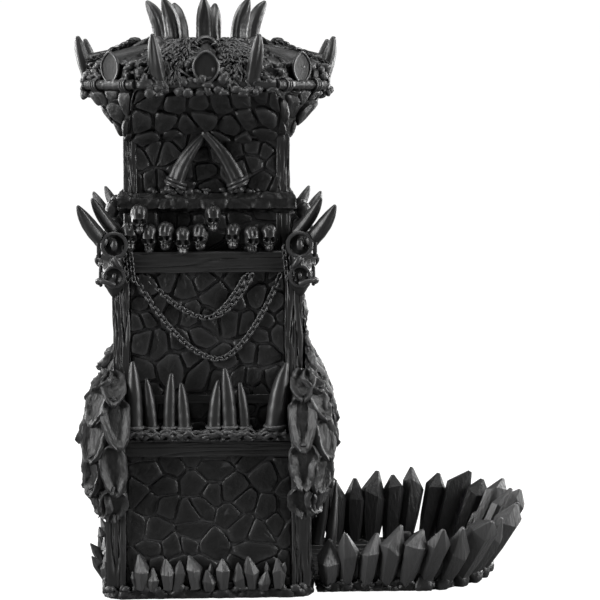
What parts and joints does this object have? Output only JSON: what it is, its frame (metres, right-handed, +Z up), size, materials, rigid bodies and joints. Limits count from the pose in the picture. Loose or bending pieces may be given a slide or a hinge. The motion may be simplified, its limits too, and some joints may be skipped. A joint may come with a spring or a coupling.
{
  "type": "dice tower",
  "caption": "Dice tower of stacked stone and timber storeys with a horned crown, internal ramps and a crystal-fenced tray that slides off.",
  "frame": {"origin": "on the table at the centre of the tower's square foot", "axes": "+Z up the tower, +X out of the exit arch along the tray, +Y to the left seen from the tower"},
  "size_m": [0.1884, 0.1062, 0.2405],
  "materials": {
    "stone": "satin black printed plastic, cobbled relief",
    "timber": "satin black printed plastic, wood grain relief",
    "horn": "smooth satin black plastic",
    "skull": "smooth satin black plastic",
    "chain": "satin black plastic",
    "crystal": "faceted satin black plastic",
    "scale": "rough satin black plastic",
    "thatch": "rough black plastic, straw relief"
  },
  "bodies": {
    "tower_base": {"plinth": "stone", "lower_wall_right": "stone", "lower_wall_front": "stone", "lower_wall_left": "stone", "lower_wall_rear": "stone", "lower_posts": "timber", "lower_beams": "timber", "lower_deck": "timber", "ledge_gums": "stone", "ledge_tusks": "horn", "scales_front_left": "scale", "scales_rear_left": "scale", "scales_rear_right": "scale", "scales_front_right": "scale", "exit_hood": "scale", "exit_ramp": "timber", "foot_crystals": "crystal"},
    "middle_storey": {"middle_wall_right": "stone", "middle_wall_front": "stone", "middle_wall_left": "stone", "middle_wall_rear": "stone", "middle_posts": "timber", "middle_sill_beams": "timber", "middle_head_beams": "timber", "middle_deck": "timber", "middle_spigot": "timber", "middle_ramp": "timber", "skulls_right": "skull", "skulls_front": "skull", "skulls_left": "skull", "skulls_rear": "skull", "beast_skull_front_left": "skull", "beast_skull_rear_left": "skull", "beast_skull_rear_right": "skull", "beast_skull_front_right": "skull", "beast_horns": "horn", "wall_chains": "chain"},
    "upper_storey": {"upper_walls": "stone", "upper_posts": "timber", "upper_spigot": "timber", "upper_ramp": "timber", "cornice": "stone", "arch_tusks": "horn", "crown_flare": "stone", "parapet": "stone", "roof_slab": "stone", "roof_thatch": "thatch", "mouth_ring": "stone", "mouth_horns": "horn", "rafters": "timber", "rim_horns": "horn", "rim_poles": "timber", "pole_ties": "chain"},
    "tray": {"tray_floor": "timber", "tray_rim": "stone", "fence_crystals": "crystal", "gate_tusks": "horn"}
  },
  "joints": [
    {"name": "tray_slide", "type": "slide", "parent": "tower_base", "child": "tray", "axis": [1, 0, 0], "range_m": [0, 0.06]},
    {"name": "middle_lift", "type": "slide", "parent": "tower_base", "child": "middle_storey", "axis": [0, 0, 1], "range_m": [0, 0.045]},
    {"name": "upper_lift", "type": "slide", "parent": "middle_storey", "child": "upper_storey", "axis": [0, 0, 1], "range_m": [0, 0.035]}
  ]
}
